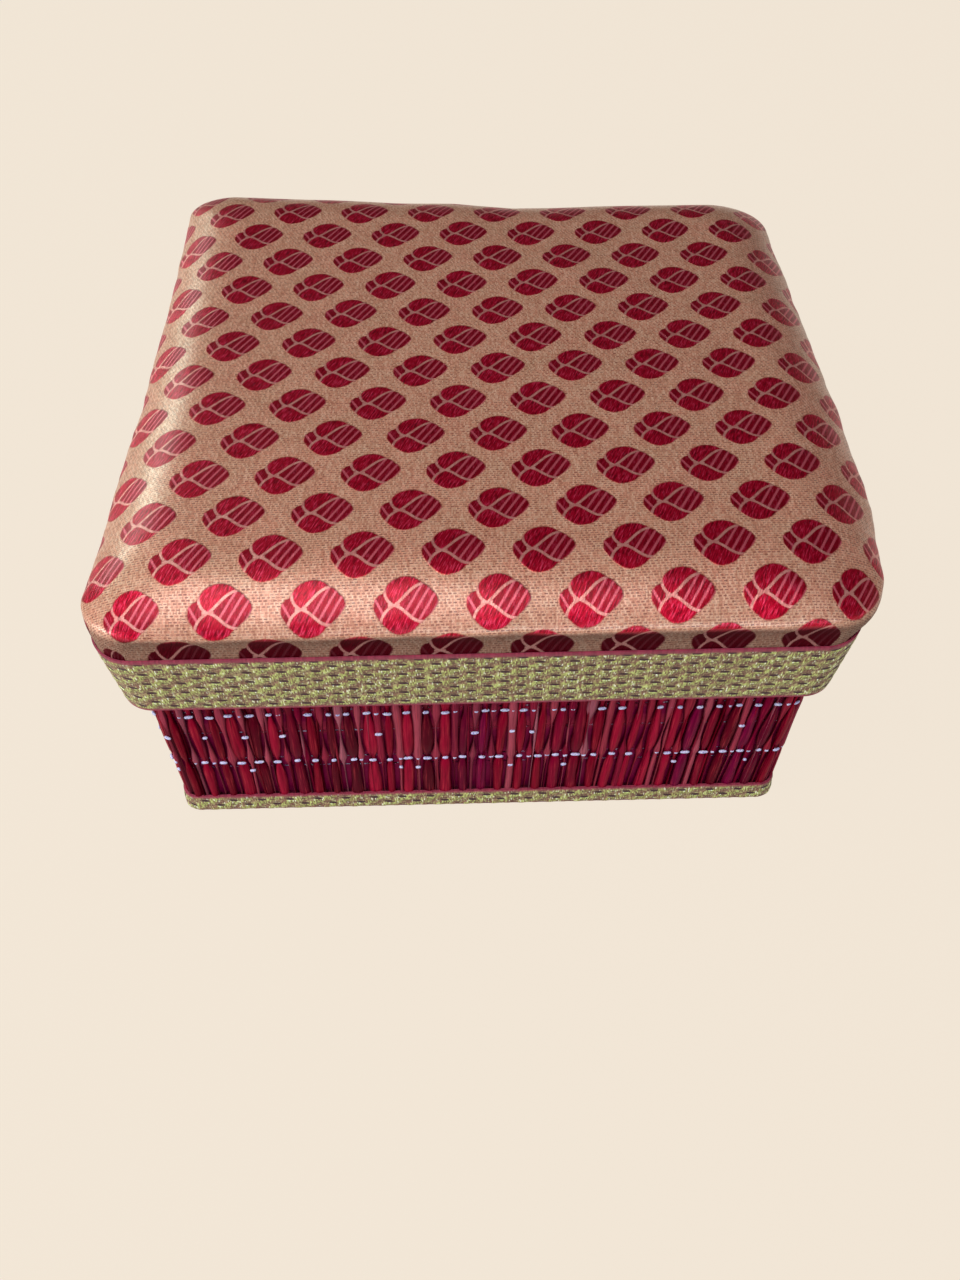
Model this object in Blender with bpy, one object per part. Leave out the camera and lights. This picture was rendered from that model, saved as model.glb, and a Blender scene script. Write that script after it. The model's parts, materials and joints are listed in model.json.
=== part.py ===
"""Woven grass keepsake box with a padded brocade lid that lifts straight off.

The base is a card box wrapped in a mat of dyed grass stems, bound by cotton threads and edged by a
metallic ribbon that folds under it. The lid is a shallow card box, padded on top, covered in brocade
and ringed by the same ribbon. The origin is on the table under the middle of the box. The front
faces -Y, and the lid lifts along +Z.

Every piece follows one plan outline, a rectangle with round corners. A piece's offset is how far its
face lies outside the face of the grass mat, so pieces nest when they share these offsets.
"""

import math

import bmesh
import bpy
from mathutils import Vector

# Driving dimensions of the base, in metres
BASE_WIDTH = 0.148
BASE_DEPTH = 0.144
WALL_HEIGHT = 0.0684
CORNER_RADIUS = 0.0040
FOLD_RADIUS = 0.0005
WALL_THICKNESS = 0.0020
FLOOR_THICKNESS = 0.0020
LINING_THICKNESS = 0.0004
BOTTOM_COVER_THICKNESS = 0.0005
BOTTOM_COVER_SETBACK = 0.0030
RIM_LIP_SETBACK = 0.0002

# Grass mat and its threads
MAT_THICKNESS = 0.0018
STEM_PITCH = 0.0022
STEM_GROOVE = 0.0005
THREAD_DIAMETER = 0.0006
THREAD_ROWS_ABOVE_RIBBON = (0.0112, 0.0150, 0.0257, 0.0340)

# Ribbon
RIBBON_THICKNESS = 0.0005
BASE_RIBBON_SHOWING = 0.0052
BASE_RIBBON_TURN_UNDER = 0.0120
LID_RIBBON_WIDTH = 0.0190

# Lid
LID_SKIRT_DEPTH = 0.0225
LID_BOARD_THICKNESS = 0.0020
LID_HOOP_THICKNESS = 0.0011
LID_HOOP_SETBACK = 0.0004
COVER_THICKNESS = 0.0004
COVER_HEM_SETBACK = 0.0006

# Padding on the lid
PAD_HEIGHT = 0.0083
PAD_CROWN = 0.0003
PAD_ROLL = 0.0180
PAD_BULGE = 0.0015
PAD_ROUNDNESS = 2.3
PAD_CORNER_RADIUS = 0.0145
PAD_CROWN_EDGE = 0.0360

# Clearances
GAP = 0.0003
LID_CLEARANCE = 0.0003

# Facets
CORNER_STEPS = 6
ROLL_STEPS = 7
FLANK_STEPS = 3
THREAD_SIDES = 6

# Offsets of the base pieces from the face of the mat
MAT_IN = -MAT_THICKNESS
WALL_OUT = MAT_IN - GAP
WALL_IN = WALL_OUT - WALL_THICKNESS
LINING_OUT = WALL_IN - GAP
LINING_IN = LINING_OUT - LINING_THICKNESS
FLOOR_OUT = WALL_IN - GAP
THREAD_CENTRE = GAP + THREAD_DIAMETER / 2
THREAD_OUT = GAP + THREAD_DIAMETER
BASE_RIBBON_IN = GAP
BASE_RIBBON_OUT = BASE_RIBBON_IN + RIBBON_THICKNESS

# Offsets of the lid pieces, which pass over the threads
LID_LINING_IN = THREAD_OUT + LID_CLEARANCE
LID_LINING_OUT = LID_LINING_IN + LINING_THICKNESS
HOOP_IN = LID_LINING_OUT + GAP
HOOP_OUT = HOOP_IN + LID_HOOP_THICKNESS
COVER_IN = HOOP_OUT + GAP
COVER_OUT = COVER_IN + COVER_THICKNESS
LID_RIBBON_IN = COVER_OUT + GAP
LID_RIBBON_OUT = LID_RIBBON_IN + RIBBON_THICKNESS
CREASE_OUT = COVER_OUT + PAD_BULGE

# Heights of the base pieces above the table
RIBBON_FOLD_Z = BOTTOM_COVER_THICKNESS + GAP
RIBBON_TOP_Z = RIBBON_FOLD_Z + BASE_RIBBON_SHOWING
FLOOR_Z = RIBBON_FOLD_Z + RIBBON_THICKNESS + GAP
FLOOR_TOP_Z = FLOOR_Z + FLOOR_THICKNESS
FLOOR_LINING_Z = FLOOR_TOP_Z + GAP
WALL_LINING_Z = FLOOR_LINING_Z + LINING_THICKNESS + GAP
WALL_TOP_Z = FLOOR_Z + WALL_HEIGHT
RIM_LIP_Z = WALL_TOP_Z + GAP
RIM_TOP_Z = RIM_LIP_Z + LINING_THICKNESS
SEAT_Z = RIM_TOP_Z + GAP

# Heights of the lid pieces above the seat, where the lid's ceiling meets the rim of the base
LID_BOARD_Z = LINING_THICKNESS + GAP
LID_BOARD_TOP_Z = LID_BOARD_Z + LID_BOARD_THICKNESS
CREASE_Z = LID_BOARD_TOP_Z
HOOP_TOP_Z = LID_BOARD_Z - GAP
LID_RIBBON_Z = -LID_SKIRT_DEPTH
LID_RIBBON_TOP_Z = LID_RIBBON_Z + LID_RIBBON_WIDTH
HOOP_Z = LID_RIBBON_Z + LID_HOOP_SETBACK
COVER_HEM_Z = LID_RIBBON_Z + COVER_HEM_SETBACK


def srgb(red, green, blue):
    """Linear colour for Principled BSDF from the 0 to 255 values that a screen shows."""
    channels = []
    for value in (red, green, blue):
        share = value / 255
        channels.append(share / 12.92 if share <= 0.04045 else ((share + 0.055) / 1.055) ** 2.4)
    return (*channels, 1.0)


CARD = srgb(196, 176, 142)
PAPER = srgb(120, 28, 46)
LINING_CLOTH = srgb(142, 22, 44)
GRASS = srgb(122, 14, 38)
THREAD = srgb(226, 214, 236)
RIBBON = srgb(150, 150, 78)
BROCADE = srgb(168, 76, 76)
FOAM = srgb(232, 226, 210)


def remove_scene_objects():
    for scene_object in list(bpy.data.objects):
        bpy.data.objects.remove(scene_object, do_unlink=True)


def add_frame(name, height):
    """Empty that carries one body's pieces. The lid's slides along its own Z axis."""
    frame = bpy.data.objects.new(name, None)
    frame.location = (0.0, 0.0, height)
    bpy.context.collection.objects.link(frame)
    return frame


def add_piece(name, bm, frame, colour, roughness, metallic=0.0, smooth_angle=None):
    """Turns a finished bmesh into a named object with its own material, carried by `frame`."""
    bmesh.ops.recalc_face_normals(bm, faces=bm.faces[:])
    mesh = bpy.data.meshes.new(name)
    bm.to_mesh(mesh)
    bm.free()
    material = bpy.data.materials.new(name)
    material.use_nodes = True
    shader = material.node_tree.nodes["Principled BSDF"]
    shader.inputs["Base Color"].default_value = colour
    shader.inputs["Roughness"].default_value = roughness
    shader.inputs["Metallic"].default_value = metallic
    mesh.materials.append(material)
    if smooth_angle is not None:
        mesh.shade_smooth()
        mesh.set_sharp_from_angle(angle=smooth_angle)
    piece = bpy.data.objects.new(name, mesh)
    piece.parent = frame
    bpy.context.collection.objects.link(piece)
    return piece


# Plan outlines and the solids that follow them


def corner_centres(offset, radius):
    """Centres of the four corner arcs, counter-clockwise from the back right corner."""
    reach_x = BASE_WIDTH / 2 + offset - radius
    reach_y = BASE_DEPTH / 2 + offset - radius
    return [Vector((x * reach_x, y * reach_y)) for x, y in ((1, 1), (-1, 1), (-1, -1), (1, -1))]


def plan_outline(offset, least_radius=FOLD_RADIUS):
    """Points of the rounded rectangle that lies `offset` outside the face of the mat."""
    radius = max(CORNER_RADIUS + offset, least_radius)
    points = []
    for corner, centre in enumerate(corner_centres(offset, radius)):
        for step in range(CORNER_STEPS + 1):
            angle = (corner + step / CORNER_STEPS) * math.pi / 2
            points.append(centre + radius * Vector((math.cos(angle), math.sin(angle))))
    return points


def add_loop(bm, outline, height):
    return [bm.verts.new((point.x, point.y, height)) for point in outline]


def join_loops(bm, lower, upper):
    for index in range(len(lower)):
        bm.faces.new((lower[index - 1], lower[index], upper[index], upper[index - 1]))


def ring(profile):
    """Closed band: carries a profile of (offset, height) points once round the plan outline."""
    bm = bmesh.new()
    loops = [add_loop(bm, plan_outline(offset), height) for offset, height in profile]
    for index in range(len(loops)):
        join_loops(bm, loops[index - 1], loops[index])
    return bm


def slab(profile, roll_radius=FOLD_RADIUS):
    """Solid without a hole, capped at both ends of its profile. Loops over the crease keep round corners."""
    bm = bmesh.new()
    loops = []
    for offset, height in profile:
        least_radius = roll_radius if height > CREASE_Z else FOLD_RADIUS
        loops.append(add_loop(bm, plan_outline(offset, least_radius), height))
    for lower, upper in zip(loops, loops[1:]):
        join_loops(bm, lower, upper)
    bm.faces.new(loops[0])
    bm.faces.new(loops[-1])
    return bm


def box_profile(inner, outer, bottom, top):
    return [(outer, bottom), (outer, top), (inner, top), (inner, bottom)]


# Base


def add_bottom_cover(frame):
    edge = -BOTTOM_COVER_SETBACK
    bm = slab([(edge, 0.0), (edge, BOTTOM_COVER_THICKNESS)])
    add_piece("bottom_cover", bm, frame, PAPER, 0.8)


def add_base_ribbon(frame):
    """Ribbon that stands round the foot of the mat and turns in under the floor."""
    turn_in = BASE_RIBBON_OUT - BASE_RIBBON_TURN_UNDER
    fold_top = RIBBON_FOLD_Z + RIBBON_THICKNESS
    profile = [
        (BASE_RIBBON_OUT, RIBBON_FOLD_Z),
        (BASE_RIBBON_OUT, RIBBON_TOP_Z),
        (BASE_RIBBON_IN, RIBBON_TOP_Z),
        (BASE_RIBBON_IN, fold_top),
        (turn_in, fold_top),
        (turn_in, RIBBON_FOLD_Z),
    ]
    add_piece("base_ribbon", ring(profile), frame, RIBBON, 0.45, 0.3)


def add_floor_board(frame):
    bm = slab([(FLOOR_OUT, FLOOR_Z), (FLOOR_OUT, FLOOR_TOP_Z)])
    add_piece("base_floor_board", bm, frame, CARD, 0.85)


def cut_mitre(bm, corner, inward):
    """Cuts a board at one corner, square to `inward`, which leaves half of the mitre's gap."""
    cut = bmesh.ops.bisect_plane(
        bm,
        geom=bm.verts[:] + bm.edges[:] + bm.faces[:],
        plane_co=(corner + inward * GAP / 2).to_3d(),
        plane_no=inward.to_3d(),
        clear_inner=True,
    )
    edges = [item for item in cut["geom_cut"] if isinstance(item, bmesh.types.BMEdge)]
    bmesh.ops.edgeloop_fill(bm, edges=edges)


def add_wall(frame, side, outward):
    """One of the four card walls, mitred into its neighbours at the corners."""
    bm = ring(box_profile(WALL_IN, WALL_OUT, FLOOR_Z, WALL_TOP_Z))
    along = Vector((-outward.y, outward.x))
    for end in (-1, 1):
        toward_corner = outward + end * along
        corner = Vector((toward_corner.x * BASE_WIDTH / 2, toward_corner.y * BASE_DEPTH / 2))
        cut_mitre(bm, corner, (outward - end * along).normalized())
    add_piece("base_wall_" + side, bm, frame, CARD, 0.85)


def outline_length(offset):
    points = plan_outline(offset)
    return sum((points[index] - points[index - 1]).length for index in range(len(points)))


def walk_outline(offset, count):
    """`count` points at equal steps along the outline, so that stems keep their width at corners."""
    corners = plan_outline(offset)
    step = outline_length(offset) / count
    points = []
    travelled = 0.0
    for index in range(len(corners)):
        start = corners[index - 1]
        run = corners[index] - start
        while len(points) < count and len(points) * step < travelled + run.length:
            points.append(start + run * ((len(points) * step - travelled) / run.length))
        travelled += run.length
    return points


def add_grass_mat(frame):
    """Mat of upright stems: its outer face has a crown on every stem and a groove between stems."""
    stems = round(outline_length(0.0) / STEM_PITCH)
    crowns = walk_outline(0.0, stems * 2)[0::2]
    grooves = walk_outline(-STEM_GROOVE, stems * 2)[1::2]
    face = [point for pair in zip(crowns, grooves) for point in pair]
    back = walk_outline(MAT_IN, stems)
    bm = bmesh.new()
    lower_face, upper_face = (add_loop(bm, face, height) for height in (FLOOR_Z, WALL_TOP_Z))
    lower_back, upper_back = (add_loop(bm, back, height) for height in (FLOOR_Z, WALL_TOP_Z))
    join_loops(bm, lower_face, upper_face)
    join_loops(bm, lower_back, upper_back)
    for front, rear in ((lower_face, lower_back), (upper_face, upper_back)):
        for stem in range(stems):
            crown = 2 * stem
            bm.faces.new((front[crown - 2], front[crown - 1], front[crown], rear[stem], rear[stem - 1]))
    add_piece("grass_mat", bm, frame, GRASS, 0.5)


def add_binding_threads(frame):
    """Rows of cotton thread round the mat, numbered upwards from the ribbon."""
    for row, rise in enumerate(THREAD_ROWS_ABOVE_RIBBON, start=1):
        profile = []
        for side in range(THREAD_SIDES):
            angle = side / THREAD_SIDES * 2 * math.pi
            offset = THREAD_CENTRE + THREAD_DIAMETER / 2 * math.cos(angle)
            profile.append((offset, RIBBON_TOP_Z + rise + THREAD_DIAMETER / 2 * math.sin(angle)))
        bm = ring(profile)
        add_piece(f"binding_thread_{row}", bm, frame, THREAD, 0.7, smooth_angle=math.radians(70))


def add_floor_lining(frame):
    bm = slab([(LINING_OUT, FLOOR_LINING_Z), (LINING_OUT, FLOOR_LINING_Z + LINING_THICKNESS)])
    add_piece("floor_lining", bm, frame, LINING_CLOTH, 0.75)


def add_wall_lining(frame):
    """Cloth inside the walls, turned over their top edge as the rim that the lid rests on."""
    lip_out = -RIM_LIP_SETBACK
    profile = [
        (LINING_IN, WALL_LINING_Z),
        (LINING_OUT, WALL_LINING_Z),
        (LINING_OUT, RIM_LIP_Z),
        (lip_out, RIM_LIP_Z),
        (lip_out, RIM_TOP_Z),
        (LINING_IN, RIM_TOP_Z),
    ]
    add_piece("wall_lining", ring(profile), frame, LINING_CLOTH, 0.75)


# Lid


def add_ceiling_lining(frame):
    edge = HOOP_IN - GAP
    add_piece("lid_ceiling_lining", slab([(edge, 0.0), (edge, LINING_THICKNESS)]), frame, LINING_CLOTH, 0.75)


def add_lid_board(frame):
    bm = slab([(HOOP_OUT, LID_BOARD_Z), (HOOP_OUT, LID_BOARD_TOP_Z)])
    add_piece("lid_board", bm, frame, CARD, 0.85)


def add_lid_hoop(frame):
    bm = ring(box_profile(HOOP_IN, HOOP_OUT, HOOP_Z, HOOP_TOP_Z))
    add_piece("lid_rim_hoop", bm, frame, CARD, 0.85)


def add_lid_rim_lining(frame):
    bm = ring(box_profile(LID_LINING_IN, LID_LINING_OUT, HOOP_Z, -GAP))
    add_piece("lid_rim_lining", bm, frame, LINING_CLOTH, 0.75)


def flank_profile(inset):
    """Cover from the ribbon's top edge out to the crease, `inset` inside its outer face."""
    points = []
    for step in range(FLANK_STEPS):
        share = step / FLANK_STEPS
        offset = COVER_OUT + PAD_BULGE * share - inset
        points.append((offset, LID_RIBBON_TOP_Z + (CREASE_Z - LID_RIBBON_TOP_Z) * share))
    return points


def roll_profile(inset, first_step=0):
    """Rolled edge of the pad, a superellipse from the crease up and in to the top, then the crown."""
    points = []
    for step in range(first_step, ROLL_STEPS + 1):
        angle = step / ROLL_STEPS * math.pi / 2
        across = max(math.cos(angle), 0.0) ** (2 / PAD_ROUNDNESS)
        rise = math.sin(angle) ** (2 / PAD_ROUNDNESS)
        offset = CREASE_OUT - PAD_ROLL + (PAD_ROLL - inset) * across
        points.append((offset, CREASE_Z + (PAD_HEIGHT - inset) * rise))
    points.append((-PAD_CROWN_EDGE, CREASE_Z + PAD_HEIGHT + PAD_CROWN - inset))
    return points


def add_foam_pad(frame):
    """Foam on the lid board, one gap under the cover."""
    inset = COVER_THICKNESS + GAP
    rise = GAP / (PAD_HEIGHT - inset)
    across = (1 - rise**PAD_ROUNDNESS) ** (1 / PAD_ROUNDNESS)
    foot = CREASE_OUT - PAD_ROLL + (PAD_ROLL - inset) * across
    profile = [(foot, LID_BOARD_TOP_Z + GAP)] + roll_profile(inset, first_step=1)
    bm = slab(profile, PAD_CORNER_RADIUS)
    add_piece("foam_pad", bm, frame, FOAM, 0.9, smooth_angle=math.radians(40))


def add_brocade_cover(frame):
    """Brocade drawn over the pad and down the hoop, to a hem behind the lower edge of the ribbon."""
    outer = [(COVER_OUT, COVER_HEM_Z)] + flank_profile(0.0) + roll_profile(0.0)
    inner = [(COVER_IN, COVER_HEM_Z)] + flank_profile(COVER_THICKNESS) + roll_profile(COVER_THICKNESS)
    bm = slab(list(reversed(inner)) + outer, PAD_CORNER_RADIUS)
    add_piece("brocade_cover", bm, frame, BROCADE, 0.5, smooth_angle=math.radians(50))


def add_lid_ribbon(frame):
    bm = ring(box_profile(LID_RIBBON_IN, LID_RIBBON_OUT, LID_RIBBON_Z, LID_RIBBON_TOP_Z))
    add_piece("lid_ribbon", bm, frame, RIBBON, 0.45, 0.3)


def build_base():
    frame = add_frame("base_frame", 0.0)
    add_bottom_cover(frame)
    add_base_ribbon(frame)
    add_floor_board(frame)
    sides = {"front": (0, -1), "right": (1, 0), "back": (0, 1), "left": (-1, 0)}
    for side, outward in sides.items():
        add_wall(frame, side, Vector(outward))
    add_grass_mat(frame)
    add_binding_threads(frame)
    add_floor_lining(frame)
    add_wall_lining(frame)


def build_lid():
    frame = add_frame("lid_lift_frame", SEAT_Z)
    add_ceiling_lining(frame)
    add_lid_board(frame)
    add_lid_hoop(frame)
    add_lid_rim_lining(frame)
    add_foam_pad(frame)
    add_brocade_cover(frame)
    add_lid_ribbon(frame)


remove_scene_objects()
build_base()
build_lid()
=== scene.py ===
import json
import math
import random
from functools import partialmethod

import bpy
import numpy as np
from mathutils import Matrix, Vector, noise


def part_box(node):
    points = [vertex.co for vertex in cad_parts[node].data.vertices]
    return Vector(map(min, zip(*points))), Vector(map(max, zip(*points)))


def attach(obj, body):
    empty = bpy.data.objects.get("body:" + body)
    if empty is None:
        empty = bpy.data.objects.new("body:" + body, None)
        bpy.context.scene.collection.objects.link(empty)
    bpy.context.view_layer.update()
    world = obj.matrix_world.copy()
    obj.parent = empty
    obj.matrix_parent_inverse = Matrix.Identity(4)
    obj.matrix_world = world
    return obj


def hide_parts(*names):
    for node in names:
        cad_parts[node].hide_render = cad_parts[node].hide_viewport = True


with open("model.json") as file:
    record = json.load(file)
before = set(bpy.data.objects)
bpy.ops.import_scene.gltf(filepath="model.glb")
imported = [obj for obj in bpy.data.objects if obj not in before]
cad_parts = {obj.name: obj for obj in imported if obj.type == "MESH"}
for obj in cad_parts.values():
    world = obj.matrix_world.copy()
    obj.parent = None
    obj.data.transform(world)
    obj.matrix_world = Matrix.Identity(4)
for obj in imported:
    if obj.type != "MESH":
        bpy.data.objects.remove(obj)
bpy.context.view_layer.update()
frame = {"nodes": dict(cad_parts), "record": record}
nodes = frame["nodes"]

# Lengths are in metres, or in mm where a comment says so. An offset is how far a face lies outside the
# face of the grass mat.
MM = 0.001
mat_low, mat_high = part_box("grass_mat")
cover_low, cover_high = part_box("brocade_cover")
lid_ribbon_low, lid_ribbon_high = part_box("lid_ribbon")
lid_board_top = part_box("lid_board")[1].z

HALF_WIDTH = mat_high.x
HALF_DEPTH = mat_high.y
CORNER_RADIUS = 4 * MM
CORNER_SIDES = ((1, -1), (1, 1), (-1, 1), (-1, -1))
OUTLINE_CORNER_STEPS = 16
GLUE_GAP = 0.3 * MM
TOUCHING = 0.01 * MM

# Ribbons. Leans and selvedges are given for the lower edge, then for the upper. The foot ribbon is folded
# under the box, so its lower selvedge is out of sight.
RIBBON_COLUMN = 3.5 * MM
RIBBON_REPEAT = 3.56 * MM
RIBBON_STEP = 0.44 * MM
LID_RIBBON_THICKNESS = 0.4 * MM
LID_RIBBON_LEAN = (-0.7 * MM, 0.9 * MM)
LID_SELVEDGES = (0.8 * MM, 1.0 * MM)
BASE_RIBBON_THICKNESS = 0.6 * MM
BASE_RIBBON_LEAN = (0.0, -0.6 * MM)
BASE_SELVEDGES = (0.0, 0.5 * MM)

# Grass mat. The levels, in mm, are the heights at which a blade's width can change.
MAT_THICKNESS = mat_high.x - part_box("base_wall_right")[1].x - GLUE_GAP
STEM_COUNT = 262
SLIVER_COUNT = 150
STEM_LEVELS = (6, 12, 16, 18.5, 20, 21, 22, 24, 27, 30, 32, 34.5, 37, 39, 41, 44)
BACKING_THICKNESS = 0.3 * MM
THINNEST_BLADE = 0.35 * MM

# Binding threads: number, shares of the even and odd blades passed over, stitch length and depth in mm
THREAD_STITCHES = (
    (4, (0.92, 0.45), 1.7, 0.2), (3, (0.0, 0.4), 1.5, 0.05),
    (2, (0.95, 0.65), 1.8, 0.2), (1, (0.0, 0.34), 1.2, 0.15),
)
THREAD_DEPTH = 1.5 * MM
THREAD_HALF = 0.25 * MM
STITCH_HEIGHT = 0.9 * MM
STITCH_THICKNESS = 0.7 * MM

# Padded lid. The skin has rings inside, on its flank, over the roll and on the flat top.
FOLD_DEPTH = 0.45 * MM
# Height below the board's top over which shade under the crease is painted into the cloth
PAINTED_SHADE_HEIGHT = 1.5 * MM
PUCKER_HEIGHT = 5.5 * MM
COVER_CLEARANCE = 0.05 * MM
PAD_CORNER_RADII = (14.5 * MM, 11 * MM, 7 * MM, 12.5 * MM)
PAD_ROLL = 18 * MM
PAD_CROWN = 0.3 * MM
PAD_ROUNDNESS = 2.3
SMALLEST_RADIUS = 0.5 * MM
COVER_CORNER_STEPS = 20
COVER_SIDE_STEPS = 136
INNER_RINGS = 4
FLANK_RINGS = 9
ROLL_RINGS = 28
TOP_RINGS = 20
INNERMOST = 4 * MM - HALF_DEPTH

# How the pad sits, all in mm: how far to the right (place deep, then shift), and how much fuller than the
# CAD's plain roll at its left, along its right (place deep, then reach) and along its back edge (place
# across, then reach)
TOP_SHIFT = ((-77, 2.0), (-50, 3.0), (-10, 4.0), (77, 4.4))
LEFT_FULLNESS = 2.2
RIGHT_FULLNESS = ((-77, 0.8), (-62, 1.2), (-45, 2.2), (-10, 2.1), (25, 1.5), (55, 0.9))
BACK_FULLNESS = (
    (-76, 8.2), (-59, 6.6), (-42, 5.6), (-25, 4.2), (-8, 3.6), (9, 1.4), (26, 1.6), (60, 1.6))

# Brocade pattern, all in mm on the cloth. A buti's own places count from the crossing of its veins. Each
# vein has a heading in degrees, how much that turns per mm, and how the turning changes. The pull is how
# far the cloth is stretched along each direction and slanted by the other.
BUTI_ACROSS = 18.6
BUTI_DEEP = 23.8
BUTI_START = (-5.74, -15.8)
BUTI_CENTRE = (2.6, 0.3)
BUTI_OUTLINE = (
    (6, 6.3), (18, 6.0), (30, 5.6), (44, 5.4), (54, 5.2), (62, 5.3), (75, 5.55), (92, 5.75),
    (110, 5.8), (128, 5.75), (143, 5.55), (154, 5.35), (163, 6.1), (185, 6.75), (206, 6.4),
    (228, 6.3), (250, 6.45), (268, 6.0), (288, 5.35), (301, 4.85), (318, 4.85), (338, 5.3),
)
BUTI_END_RADIUS = 6.2
BUTI_VEINS = ((33, 5.2, -0.62), (157, -9.2, 0), (202, 7, 0), (-10, -10.5, 1.13))
VEIN_WIDTH = 0.6
STRIPE_WIDTH = 0.5
STRIPE_PITCH = 1.63
STRIPE_HEADING = math.radians(60)
STRIPE_PLACE = 2.65
STRIPES_FROM = 1.8
LEFT_STRIPE_PLACE = -2.7
CROSSING_HALF = 0.9
WOVEN_EDGE = 0.2
CLOTH_PULL = ((1.026, -0.0336), (1.027, -0.0184))
THREAD_STEP = 0.3
WEFT_PITCH = 0.62
DASH_PITCH = 1.0
TWILL_SHIFT = 0.36

chance = random.Random(11)


def srgb(red, green, blue):
    """Scene-linear colour of an sRGB colour given in steps of 0 to 255."""
    def linear(step):
        share = step / 255
        return share / 12.92 if share <= 0.04045 else ((share + 0.055) / 1.055) ** 2.4
    return (linear(red), linear(green), linear(blue), 1.0)


# Outline of the box

def outline(offset):
    """Corners of the plan outline grown by offset, counter-clockwise from the middle of the front."""
    radius = CORNER_RADIUS + offset
    points = [(0.0, -HALF_DEPTH - offset)]
    for quarter, (side_x, side_y) in enumerate(CORNER_SIDES):
        centre_x = side_x * (HALF_WIDTH + offset - radius)
        centre_y = side_y * (HALF_DEPTH + offset - radius)
        for step in range(OUTLINE_CORNER_STEPS + 1):
            angle = math.radians(90 * (quarter - 1 + step / OUTLINE_CORNER_STEPS))
            points.append((centre_x + radius * math.cos(angle), centre_y + radius * math.sin(angle)))
    return points


def outline_length(offset):
    points = outline(offset)
    return sum(math.dist(points[i - 1], points[i]) for i in range(len(points)))


# Modelling helpers

def set_mode(mode):
    bpy.ops.object.mode_set(mode=mode)


def deselect_all():
    if bpy.context.mode != "OBJECT":
        set_mode("OBJECT")
    bpy.ops.object.select_all(action="DESELECT")


def make_active(piece):
    deselect_all()
    piece.select_set(True)
    bpy.context.view_layer.objects.active = piece


def coordinates(mesh):
    places = np.empty(len(mesh.vertices) * 3, np.float32)
    mesh.vertices.foreach_get("co", places)
    return places.reshape(-1, 3).astype(float)


def set_coordinates(mesh, places):
    mesh.vertices.foreach_set("co", np.asarray(places, np.float32).ravel())
    mesh.update()


def set_uv(mesh, across, up):
    """Gives the mesh the UV map cloth_uv from one pair of values for each vertex."""
    layer = mesh.uv_layers.new(name="cloth_uv")
    corner_vertex = np.empty(len(mesh.loops), np.int32)
    mesh.loops.foreach_get("vertex_index", corner_vertex)
    pairs = np.stack([across[corner_vertex], up[corner_vertex]], axis=1).astype(np.float32)
    layer.data.foreach_set("uv", pairs.ravel())


def set_mask(mesh, name, values):
    mesh.attributes.new(name, "FLOAT", "POINT").data.foreach_set("value", values.astype(np.float32))


def add_object(name, data):
    piece = bpy.data.objects.new(name, data)
    bpy.context.scene.collection.objects.link(piece)
    return piece


def add_primitive(kind, measures=None, **settings):
    """One of Blender's primitives, scaled to its measures if they are given."""
    deselect_all()
    getattr(bpy.ops.mesh, f"primitive_{kind}_add")(**settings)
    piece = bpy.context.object
    if measures:
        piece.dimensions = measures
    bpy.ops.object.transform_apply()
    return piece


def moulded_copy(master, places):
    """A copy of a piece, with a mesh of its own and its vertices at other places."""
    piece = add_object(master.name, master.data.copy())
    set_coordinates(piece.data, places)
    return piece


def join(pieces):
    """Joins pieces into the first of them."""
    make_active(pieces[0])
    for piece in pieces:
        piece.select_set(True)
    bpy.ops.object.join()
    return pieces[0]


def cut_across(direction, places):
    """Cuts the active piece square to a direction, at each of the places along it."""
    set_mode("EDIT")
    for place in places:
        bpy.ops.mesh.select_all(action="SELECT")
        bpy.ops.mesh.bisect(plane_co=direction * place, plane_no=direction)
    set_mode("OBJECT")


def edit_chosen(piece, kind, chosen):
    """Goes into edit mode with only the chosen edges or faces of a piece selected."""
    make_active(piece)
    set_mode("EDIT")
    bpy.ops.mesh.select_mode(type=kind)
    bpy.ops.mesh.select_all(action="DESELECT")
    set_mode("OBJECT")
    for part in piece.data.edges if kind == "EDGE" else piece.data.polygons:
        part.select = chosen(part)
    set_mode("EDIT")


def wrap_round(piece, offset):
    """Bends a flat strip, which lies along +X with its face to -Y, round the box's outline."""
    points = outline(offset)
    curve = bpy.data.curves.new("wrap_path", "CURVE")
    curve.dimensions = "3D"
    curve.twist_mode = "Z_UP"
    spline = curve.splines.new("POLY")
    spline.points.add(len(points) - 1)
    for point, (x, y) in zip(spline.points, points):
        point.co = (x, y, 0.0, 1.0)
    spline.use_cyclic_u = True
    path = add_object("wrap_path", curve)
    bend = piece.modifiers.new("wrap", "CURVE")
    bend.object = path
    bend.deform_axis = "POS_X"
    bpy.context.view_layer.update()
    make_active(piece)
    bpy.ops.object.modifier_apply(modifier=bend.name)
    bpy.data.objects.remove(path)


def wrap_closed(piece, offset):
    """Wraps a strip right round the box and merges its ends."""
    wrap_round(piece, offset)
    set_mode("EDIT")
    bpy.ops.mesh.select_all(action="SELECT")
    bpy.ops.mesh.remove_doubles(threshold=TOUCHING)
    bpy.ops.mesh.normals_make_consistent(inside=False)
    set_mode("OBJECT")


def finish_piece(piece, name, body, slot, replaced, sharp=40):
    """Names a modelled piece, puts its place into its mesh, and ties it to the frame."""
    make_active(piece)
    bpy.ops.object.transform_apply()
    bpy.ops.object.shade_smooth_by_angle(angle=math.radians(sharp))
    piece.name = name
    piece.data.name = name
    paint(piece, slot)
    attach(piece, body)
    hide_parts(*replaced)


# Node helpers

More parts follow.
